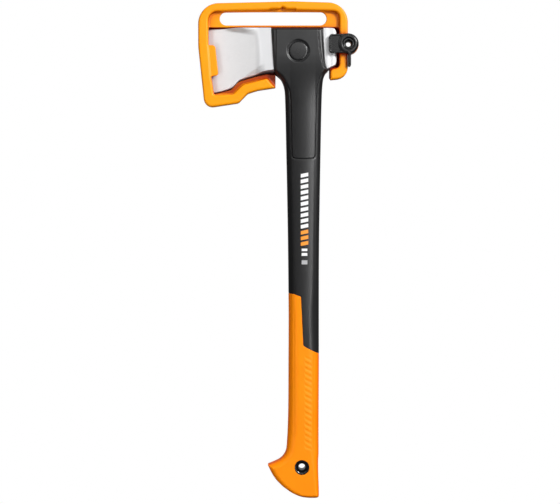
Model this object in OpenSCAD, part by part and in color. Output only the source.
// Splitting-type axe in its locking carry sheath.
// Frame: origin in the middle of the hang hole at the foot of the handle,
// +Z up the handle to the head, -X towards the cutting edge, Y across the thickness.
// The front of the sheath, with its latch, faces -Y.

/* [Head] */
// Height of the steel's top edge above the hang hole
head_top = 597.4; // [597:0.1:597.8]
// Half thickness of the wedge at its shoulders
shoulder_half = 15.6; // [14:0.1:17.5]
// Half thickness of the waist that the handle's fork clasps
waist_half = 8.5; // [7:0.1:9.5]
// Half thickness of the poll
poll_half = 14.2; // [12:0.1:14.4]
// Width of the ground bevel behind the cutting edge
bevel_w = 14; // [10:1:18]

/* [Handle] */
// Height of the top of the fork's cheeks above the hang hole
handle_top = 596.6; // [594.8:0.1:597]
// Half thickness of the shaft
shaft_half = 13.5; // [12.5:0.1:14]
// Half thickness of the grip
grip_half = 15; // [14:0.1:16]
// Half thickness over the cheeks of the fork
cheek_half = 21; // [19.5:0.1:21.2]
// Height of the raised tongue over the shaft's face
tongue_rise = 0.9; // [0.4:0.1:1.4]
// Thickness of the soft grip over its core
grip_skin = 2.6; // [2:0.1:3.2]
// Wall of the core under the grip
core_wall = 3.4; // [3:0.1:4]
// Wall between the hollow and the outside, in the bare shaft
shaft_wall = 4; // [3.5:0.1:6]
// Radius of the lock plug through the fork and the head
plug_r = 13; // [10:0.5:13.5]
// Width of the round groove about the plug
plug_groove = 2.7; // [1:0.1:3.5]

/* [Hang hole] */
// Radius of the hole through the lining
hang_r = 4.5; // [3.5:0.1:5.5]
// Length of the lining's straight bore
hang_len = 14; // [8:1:18]
// Outer radius of the lining sleeve
sleeve_r = 9.8; // [9:0.1:10.5]

/* [Sheath] */
// Front plane of the rim, in front of the middle plane
rim_front = 14; // [13.5:0.1:14]
// Depth of the rim from front to back
rim_depth = 9; // [8:0.1:9]
// Outer back plane of the sheath
back_plane = 24; // [23.5:0.1:27]
// Thickness of the moulded walls
wall = 2.6; // [2:0.1:3]
// Depth of the carry handle's bar
bar_depth = 13; // [10:0.5:16]
// Height of the carry slot
slot_h = 18.2; // [16:0.1:18.4]

/* [Latch] */
// Radius of the latch's round boss
boss_r = 13.8; // [12.5:0.1:14]
// Radius of the pivot tube
pivot_r = 5.6; // [5:0.1:6]
// Running clearance on the pivot, on the radius
run_gap = 0.05; // [0.03:0.01:0.08]
// Radius of the hole through the pivot tube
eye_r = 3.3; // [2.6:0.1:3.5]
// Thickness of the paddle
paddle_t = 4.5; // [3.5:0.1:4.5]

/* [Hidden] */
fit_gap = 0.05;
through = 40; // half length of a cut right through
// Axes along Y, as [x, z]
hang_at = [0, 0];
plug_at = [-5.1, 565];
pivot_at = [63.1, 575.3];
black = [0.13, 0.13, 0.14];
orange = [1.0, 0.6, 0.05];
steel = [0.82, 0.82, 0.84];

// ---------- helpers ----------
function unit(v) = v / norm(v);
function angle_of(v) = atan2(v[1], v[0]);
function turn(angle) = angle > 180 ? angle - 360 : angle < -180 ? angle + 360 : angle;
function normal(v) = [v[1], -v[0]];
// Place of corner i in a list of [x, y, radius], counted round the outline
function place(corners, i) =
    let (corner = corners[(i + len(corners)) % len(corners)]) [corner[0], corner[1]];

// Fillet arc at one corner, between the neighbours before and after it
function fillet_arc(before, here, after, radius, steps) =
    let (to_before = unit(before - here), to_after = unit(after - here),
         half_angle = acos(max(-1, min(1, to_before * to_after))) / 2,
         centre = here + unit(to_before + to_after) * radius / sin(half_angle),
         reach = radius / tan(half_angle),
         start = angle_of(here + to_before * reach - centre),
         sweep = turn(angle_of(here + to_after * reach - centre) - start))
    [for (k = [0 : steps])
        let (angle = start + sweep * k / steps) centre + radius * [cos(angle), sin(angle)]];

// Corner list [x, y, radius] to outline points; a radius of 0 stays sharp
function filleted(corners, steps) = [for (i = [0 : len(corners) - 1])
    let (here = place(corners, i), radius = corners[i][2])
    each radius == 0 ? [here] :
        fillet_arc(place(corners, i - 1), here, place(corners, i + 1), radius, steps)];

// Grow a corner list, with mitred sides, for corners listed anticlockwise
function grown(corners, growth) = [for (i = [0 : len(corners) - 1])
    let (here = place(corners, i), radius = corners[i][2],
         side_in = unit(here - place(corners, i - 1)),
         side_out = unit(place(corners, i + 1) - here),
         mitre = unit(normal(side_in) + normal(side_out)),
         moved = here + mitre * growth / (mitre * normal(side_in)),
         convex = side_in[0] * side_out[1] - side_in[1] * side_out[0] > 0)
    [moved[0], moved[1], radius == 0 ? 0 : max(0.2, radius + (convex ? growth : -growth))]];

module rounded(corners, steps) { polygon(filleted(corners, steps)); }

// Extrude an outline drawn in X and Z from y0 to y1
module plate(y0, y1) {
    rotate([90, 0, 0]) translate([0, 0, -y1]) linear_extrude(y1 - y0) children();
}

// Cylinder along Y, from y0 to y1
module rod(radius, at, y0, y1) {
    translate([at[0], y0, at[1]]) rotate([-90, 0, 0])
        cylinder(r = radius, h = y1 - y0, $fn = 96);
}
module bore(radius, at) { rod(radius, at, -through, through); }
module sleeve_bore() { bore(sleeve_r + fit_gap, hang_at); }
module pivot_bore() { rod(pivot_r + run_gap, pivot_at, -through, 10); }

// Revolve an outline of [radius, distance in front of the middle plane] about an axis along Y
module turned(at, outline) {
    translate([at[0], 0, at[1]]) rotate([90, 0, 0]) rotate_extrude($fn = 96) polygon(outline);
}

// Solid through a stack of rings with the same number of points, lowest ring first
module loft(rings) {
    count = len(rings[0]);
    levels = len(rings);
    polyhedron(points = [for (ring = rings) each ring],
        faces = concat(
            [[for (i = [0 : count - 1]) i]],
            [[for (i = [count - 1 : -1 : 0]) (levels - 1) * count + i]],
            [for (j = [0 : levels - 2], i = [0 : count - 1])
                let (low = j * count, high = low + count, next = (i + 1) % count)
                each [[low + i, high + i, high + next], [low + i, high + next, low + next]]]));
}

// ---------- handle shape ----------
foot_z = -43.2;
core_foot = -38.2; // core under the grip
core_top = 242;
hollow_top = 480;
// Straight blade side of the cheeks, from foot to top
cheek_foot_z = 540;
cheek_foot_x = -38.2;
cheek_top_z = 594.2;
cheek_top_x = -41.8;
function cheek_blade_x(z) = cheek_foot_x
    + (z - cheek_foot_z) * (cheek_top_x - cheek_foot_x) / (cheek_top_z - cheek_foot_z);

// Blade-side edge of the handle: [z, x]
blade_side = [[foot_z, 11], [-42.3, 3], [-38.7, -7.7], [-34.6, -15.7], [-30.5, -21.6],
    [-26.4, -26.9], [-22.3, -31.2], [-18.2, -35.1], [-14.1, -38.2], [-10, -40.9], [-5.9, -43.1],
    [-1.8, -45.1], [2.4, -47], [4, -43.6], [6.5, -37.7], [10.6, -29.9], [14.7, -25.3],
    [18.8, -22.8], [22.9, -21.3], [35, -20.2], [49, -19.4], [90, -18.4], [145, -18.2],
    [200, -18], [254, -18.4], [309, -19], [364, -19.9], [432.5, -21.3], [501, -22.8],
    [512, -23.4], [517.5, -24.2], [523, -25.8], [528.4, -28.2], [532, -31.2], [534.4, -33.9],
    [538, -37.7], [cheek_foot_z, cheek_foot_x], [cheek_top_z, cheek_top_x]];
// Poll-side edge of the handle: [z, x]
poll_side = [[foot_z, 19], [-42.3, 21.8], [-40.5, 23.4], [-38.7, 23.8], [0, 22.9], [35, 22.9],
    [90, 23.1], [145, 23.4], [254, 23.5], [309, 23.8], [364, 24.6], [432.5, 25.8], [501, 27.2],
    [512, 27.6], [523, 28.4], [528.4, 29.2], [532, 30.1], [534.4, 31], [538, 32.8],
    [540, 34.6], [541, 36], [541.6, 33.6], [548, 32.4], [556, 31.3], [569, 30.4], [580, 29.7],
    [cheek_top_z, 29.1]];
// [z, half thickness]
half_thickness = [[foot_z, grip_half - 4], [-41, grip_half - 1.5], [-37, grip_half],
    [160, grip_half], [236, shaft_half + 0.7], [300, shaft_half], [440, shaft_half],
    [500, shaft_half + 0.5], [512, shaft_half + 1.2], [523, shaft_half + 2.9],
    [532, shaft_half + 5], [538, cheek_half - 0.6], [541, cheek_half], [cheek_top_z, cheek_half]];
// How far the rounded corner reaches along X: [z, reach]
corner_reach_x = [[foot_z, 4], [-20, 7], [2.4, 9], [25, 13], [60, 15], [230, 15], [300, 13],
    [440, 12], [512, 10], [541, 6], [cheek_top_z, 6]];
// How far it reaches along Y: [z, reach]
corner_reach_y = [[foot_z, 6], [-20, 7], [10, 10], [60, 13], [230, 12.5], [300, 11.5],
    [440, 11], [512, 10], [541, 6], [cheek_top_z, 6]];
// Hollow, thicker-walled where the grip lies over the core: [z, distance from the outside]
hollow_inset = [[-60, grip_skin + core_wall], [225, grip_skin + core_wall], [262, shaft_wall],
    [440, shaft_wall], [475, 9]];
// Heights of the handle's rings
heights = [foot_z, -42.3, -40.5, -38.7, -34.6, -30.5, -26.4, -22.3, -18.2, -14.1, -10, -5.9,
    -1.8, 2.4, 4, 6.5, 10.6, 14.7, 18.8, 22.9, 35, 49, 90, 145, 190, 236, 262, 309, 364, 440,
    475, 501, 512, 517.5, 523, 528.4, 532, 534.4, 538, 540, 541, 541.6, 548, 556, 569, 580,
    cheek_top_z];

function corner_reach(table, z, inset, half) =
    max(0.6, min(lookup(z, table) - inset, half * 0.95));

// One ring of the handle at height z, drawn in by inset all round
function ring(z, inset) = let (
    x0 = lookup(z, blade_side) + inset,
    x1 = lookup(z, poll_side) - inset,
    centre_x = (x0 + x1) / 2,
    half_x = (x1 - x0) / 2,
    half_y = lookup(z, half_thickness) - inset,
    reach_x = corner_reach(corner_reach_x, z, inset, half_x),
    reach_y = corner_reach(corner_reach_y, z, inset, half_y),
    steps = 4)
    [for (quarter = [0 : 3], k = [0 : steps])
        let (angle = 90 * quarter + 90 * k / steps,
             sign_x = quarter == 0 || quarter == 3 ? 1 : -1,
             sign_y = quarter < 2 ? 1 : -1)
        [centre_x + sign_x * (half_x - reach_x) + reach_x * cos(angle),
         sign_y * (half_y - reach_y) + reach_y * sin(angle), z]];

module handle_loft(inset, z0, z1) {
    between = [for (z = heights) if (z > z0 + 0.3 && z < z1 - 0.3) z];
    loft([for (z = concat([z0], between, [z1])) ring(z, inset)]);
}

module hollow() {
    between = [for (z = heights) if (z > -37 && z < hollow_top) z];
    loft([for (z = concat([-39.5, -38], between)) ring(z, lookup(z, hollow_inset))]);
}

// Side view of the part that the soft grip covers, drawn back by gap from its upper edge
module grip_area(gap) {
    translate([-gap, -gap * 1.5])
        rounded([[-70, -70, 0], [60, -70, 0], [60, 142, 0], [22.5, 156.3, 0],
            [17.2, 157.6, 0], [1.9, 165.2, 4], [-1.2, 232.3, 3], [-10.5, 235.4, 0],
            [-18.1, 236.8, 0], [-70, 243, 0]], 4);
}

// Raised tongue on the shaft's faces
module tongue() {
    half = shaft_half + tongue_rise;
    plate(-half, half)
        rounded([[-13.2, 419.6, 4.2], [2.2, 418.7, 0], [17.4, 419.6, 4.2], [18.6, 505, 6],
            [21.4, 524, 0], [-20.6, 524, 0], [-14.6, 505, 6]], 4);
}

// Slot between the fork's cheeks for the head's waist
module fork_slot() {
    half = waist_half + fit_gap;
    plate(-half, half) polygon([[-60, 539.52], [60, 542.18], [60, 640], [-60, 640]]);
}

// Round grooves about the plug, one in each cheek
module plug_grooves() {
    depth = 1.2;
    outside = 3; // from the cheek's face out to the cutter's middle
    half = outside + depth;
    for (side = [-1, 1]) translate([0, side * (cheek_half + outside), 0])
        difference() {
            rod(plug_r + plug_groove, plug_at, -half, half);
            rod(plug_r - 2, plug_at, -half - 0.8, half + 0.8);
        }
}

module handle() {
    color(black) difference() {
        union() {
            difference() {
                handle_loft(0, foot_z, handle_top);
                plate(-through, through) grip_area(0);
            }
            handle_loft(grip_skin, core_foot, core_top);
            tongue();
        }
        hollow();
        fork_slot();
        bore(plug_r, plug_at);
        plug_grooves();
        sleeve_bore();
    }
}

module grip() {
    color(orange) difference() {
        intersection() {
            handle_loft(0, foot_z, 260);
            plate(-through, through) grip_area(0.08);
        }
        handle_loft(grip_skin - fit_gap, core_foot - fit_gap, core_top + 3);
        sleeve_bore();
    }
}

// Fills the foot of the hollow
module foot_plug() {
    color(black) difference() {
        handle_loft(grip_skin + core_wall + fit_gap, -38, 30);
        sleeve_bore();
    }
}

// Lining with a flared mouth at each end of its straight bore
module hang_hole_sleeve() {
    bore_end = hang_len / 2;
    end = grip_half - 0.1;
    mouth_r = sleeve_r - 0.5;
    steps = 6;
    flare = [for (k = [0 : steps]) let (angle = 90 * k / steps)
        [mouth_r - (mouth_r - hang_r) * sin(angle), end - (end - bore_end) * (1 - cos(angle))]];
    color(black) turned(hang_at, concat([[sleeve_r, -end], [sleeve_r, end]], flare,
        [for (k = [steps : -1 : 0]) [flare[k][0], -flare[k][1]]]));
}

// ---------- head ----------
// Cutting edge: [z, x]
edge_line = [[500, -124.6], [509.5, -126.8], [531, -130.8], [553, -133.3], [575, -134.8],
    [598, -135.3]];
head_heights = [505, 509.5, 520, 531, 542, 553, 564, 575, 586, 600];

// Plan ring of the head at height z: sharp edge, ground bevel, hollow wedge, shoulders, poll
function head_ring(z) = let (
    edge = lookup(z, edge_line),
    // [x, half thickness]
    profile = [[edge, 0.25], [edge + 5, 1.5], [edge + bevel_w, 3.1], [edge + 38, 6.4],
        [-78, 8.8], [-66, 11.4], [-59, 13.6], [-54, shoulder_half - 0.6],
        [-48, shoulder_half], [-36, shoulder_half], [20, poll_half], [41, poll_half],
        [45, poll_half - 1], [47, poll_half - 3.6]])
    concat([for (i = [len(profile) - 1 : -1 : 0]) [profile[i][0], profile[i][1], z]],
        [for (point = profile) [point[0], -point[1], z]]);

module head_outline() {
    rounded([[-137, 509.9, 0], [-126.8, 509.7, 0], [-117.5, 510.9, 0], [-95.0, 516.8, 6],
        [-86.2, 527.2, 4], [-63.8, 534, 0], [-48.5, 538.8, 0], [-38.3, 540.05, 0],
        [33.7, 541.65, 0], [39.4, 544.4, 0], [44.8, 546.6, 3], [47, 551, 3],
        [47, head_top, 7], [-137, head_top, 0]], 4);
}

// Side view of the recess for a cheek, following the cheek's two edges
module cheek_recess() {
    z0 = 500;
    z1 = 610;
    polygon(concat(
        [[cheek_blade_x(z0) - fit_gap, z0], [33.9 + fit_gap, z0], [33.9 + fit_gap, 541.6]],
        [for (row = poll_side) if (row[0] > 547) [row[1] + fit_gap, row[0]]],
        [[28.9 + fit_gap, z1], [cheek_blade_x(z1) - fit_gap, z1]]));
}

module axe_head() {
    color(steel) difference() {
        intersection() {
            loft([for (z = head_heights) head_ring(z)]);
            plate(-30, 30) head_outline();
        }
        for (side = [0, 1]) mirror([0, side, 0]) plate(-through, -waist_half) cheek_recess();
        bore(plug_r, plug_at);
    }
}

module lock_plug() {
    half = cheek_half - 0.3;
    color(black) rod(plug_r - fit_gap, plug_at, -half, half);
}

// ---------- sheath ----------
rim_back = rim_depth - rim_front;
ledge_front = 5 - rim_front;
chamber_top = 598.9;
// Way out for the handle
throat_x0 = -36;
throat_x1 = 38.2;
throat_z = 470;

// Corners [x, z, radius]
rim_corners = [[-131.9, 488.9, 11], [-86.3, 495.8, 8], [-73.8, 508.8, 10], [-60, 513, 0],
    [throat_x0, 516.3, 0], [throat_x1, 526.8, 0], [62.5, 529.3, 13], [62.5, 631.6, 23],
    [-12, 633.8, 0], [-141.4, 630.8, 25], [-141.1, 572, 80]];
// Opening in the rim, given its corner beside the throat
function opening_corners(throat_corner) = [[throat_x0, throat_z, 0], [throat_x1, throat_z, 0],
    [throat_x1, 541.2, 5.5], [51.1, 543.3, 6.5], [51.1, 620.3, 9], [-7.7, 621.7, 0],
    [-9, 623.2, 0], [-20, 622.9, 0], [-26.5, 626, 0.8], [-30.4, 623.2, 0], [-42.3, 623.2, 0],
    [-47, 621.6, 0], [-75.7, 620.9, 0], [-127.5, 619.6, 12], [-126.9, 574.6, 1],
    [-118, 574.2, 4.5], [-113.4, 533.6, 4], [-123.4, 531.3, 1], [-119.5, 506.6, 2.5],
    [-93.5, 507.4, 6], [-80, 520.4, 7], throat_corner, [throat_x0, 516.2, 0]];
chamber_corners = [[throat_x0, throat_z, 0], [throat_x1, throat_z, 0], [throat_x1, 543, 3],
    [51.1, 545.5, 4], [51.1, chamber_top, 3], [-138.4, chamber_top, 3], [-138.3, 573, 0],
    [-131.1, 507.2, 3], [-117.5, 508.4, 0], [-96.2, 514, 4], [-87, 524.8, 4],
    [-62, 532.2, 0], [-48.5, 535.2, 0], [throat_x0, 534.2, 0]];
// Region that the chamber's walls keep to: [x, z]
wall_limit = [[-150, 480], [-60, 480], [-41, 523], [-20, 524.5], [20, 533], [45, 533],
    [80, 520], [80, 640], [-150, 640]];

module rim_outline() { rounded(rim_corners, 6); }
module rim_opening() { rounded(opening_corners([-47.4, 529.2, 3.5]), 4); }
module rim_band() {
    difference() {
        rim_outline();
        rim_opening();
    }
}
module above(z) { translate([-200, z]) square([400, 100]); }
module below_chamber_top() { translate([-200, 400]) square([400, chamber_top - 400]); }

// Way into the chamber behind the rim
module mouth() {
    intersection() {
        rounded(opening_corners([throat_x0, 535.4, 0]), 4);
        rounded(chamber_corners, 4);
    }
}

module carry_slot() {
    x0 = -112;
    x1 = 33.6;
    z = 610.9;
    radius = slot_h / 2;
    for (x = [x0 + radius, x1 - radius]) translate([x, z]) circle(r = radius, $fn = 64);
    translate([x0 + radius, z - radius]) square([x1 - x0 - 2 * radius, 2 * radius]);
}

// Arched opening in the back wall, behind the handle
module back_arch() {
    arch_top = 558;
    rounded([[throat_x0, throat_z, 0], [throat_x1, throat_z, 0],
        [throat_x1, arch_top, 14], [throat_x0, arch_top, 14]], 6);
}

module sheath() {
    color(orange) difference() {
        union() {
            plate(-rim_front, rim_back) rim_band();
            // sunken ledge between the rim and the chamber
            plate(ledge_front, rim_back) difference() {
                rim_outline();
                mouth();
                above(chamber_top);
            }
            // bar of the carry handle, deeper than the rim
            plate(1 - rim_front, bar_depth - rim_front) intersection() {
                rim_band();
                above(604);
            }
            // web with the carry slot
            plate(-8, -4.5) difference() {
                intersection() {
                    rim_outline();
                    above(chamber_top);
                }
                carry_slot();
            }
            // chamber walls and back
            plate(rim_back - 1, back_plane) intersection() {
                rounded(grown(chamber_corners, wall), 4);
                rim_outline();
                polygon(wall_limit);
            }
            // latch ear
            rod(boss_r + 0.3, pivot_at, -rim_front, rim_back);
        }
        plate(rim_back, back_plane - wall + 0.1) rounded(chamber_corners, 4);
        plate(-through, ledge_front) intersection() {
            rim_opening();
            below_chamber_top();
        }
        plate(ledge_front - 0.1, rim_back + 0.1) intersection() {
            mouth();
            below_chamber_top();
        }
        plate(back_plane - wall - 1, back_plane + 5) back_arch();
        // room behind the rim's blade-side tab for the blade as it swings out
        plate(-8.2, rim_back + 0.2) translate([-126.8, 532]) square([16, 42.4]);
        pivot_bore();
    }
}

// ---------- latch ----------
// Distances in front of the middle plane
boss_back = rim_front + 0.1;
boss_front = 20.6;
paddle_front = 20;
seat = 16.1; // floor of the boss's recess, under the pivot's flange
groove_back = 3.7; // clip groove in the pivot
groove_front = 4.9;
groove_r = 4.85;

module paddle() {
    tip_x = 36.9;
    plate(-paddle_front, paddle_t - paddle_front)
        rounded([[tip_x, 562.5, 3.8], [pivot_at[0], 562.2, 0], [pivot_at[0], 588.4, 0],
            [tip_x, 587.8, 3.8]], 5);
}

// Narrow tail below the boss, cut clear of the sheath's ear
module tail() {
    x0 = 62.9;
    x1 = 66.5;
    z0 = 545.2;
    z1 = 570;
    difference() {
        plate(-19.4, -5) rounded([[x0, z0, 0.8], [x1, z0, 0.8], [x1, z1, 0], [x0, z1, 0]], 3);
        rod(boss_r + 0.8, pivot_at, -boss_back, 10);
    }
}

module latch() {
    recess_r = pivot_r + 1.75;
    color(black) difference() {
        union() {
            paddle();
            turned(pivot_at, [[2, boss_back], [boss_r, boss_back], [boss_r, 16.8],
                [13.2, 18.7], [11.6, 20.1], [9.6, boss_front], [2, boss_front]]);
            tail();
        }
        pivot_bore();
        // flared recess about the pivot's flange
        turned(pivot_at, [[0, seat], [recess_r, seat], [recess_r, 18.2], [8.2, 19.4],
            [9.6, boss_front + 0.01], [9.6, 30], [0, 30]]);
    }
}

// Flanged tube with a flared bore and a groove for the clip
module latch_pivot() {
    flange_r = pivot_r + 1.6;
    flange_back = seat + fit_gap;
    flange_front = 18.1;
    tube_back = 2.6;
    color(black) turned(pivot_at, [[5.5, flange_front], [4.5, 16.8], [3.7, 14], [eye_r, 11.5],
        [eye_r, 7.9], [4, tube_back], [pivot_r, tube_back], [pivot_r, groove_back],
        [groove_r, groove_back], [groove_r, groove_front], [pivot_r, groove_front],
        [pivot_r, flange_back], [flange_r, flange_back], [flange_r, flange_front]]);
}

// Ring in the pivot's groove, open towards +X
module pivot_clip() {
    gap_w = 6.4;
    color(steel) difference() {
        rod(8.4, pivot_at, fit_gap - groove_front, -groove_back - fit_gap);
        rod(groove_r + fit_gap, pivot_at, -10, 10);
        translate([pivot_at[0], -6, pivot_at[1] - gap_w / 2]) cube([20, 4, gap_w]);
    }
}

axe_head();
handle();
lock_plug();
grip();
foot_plug();
hang_hole_sleeve();
sheath();
latch_pivot();
pivot_clip();
latch();
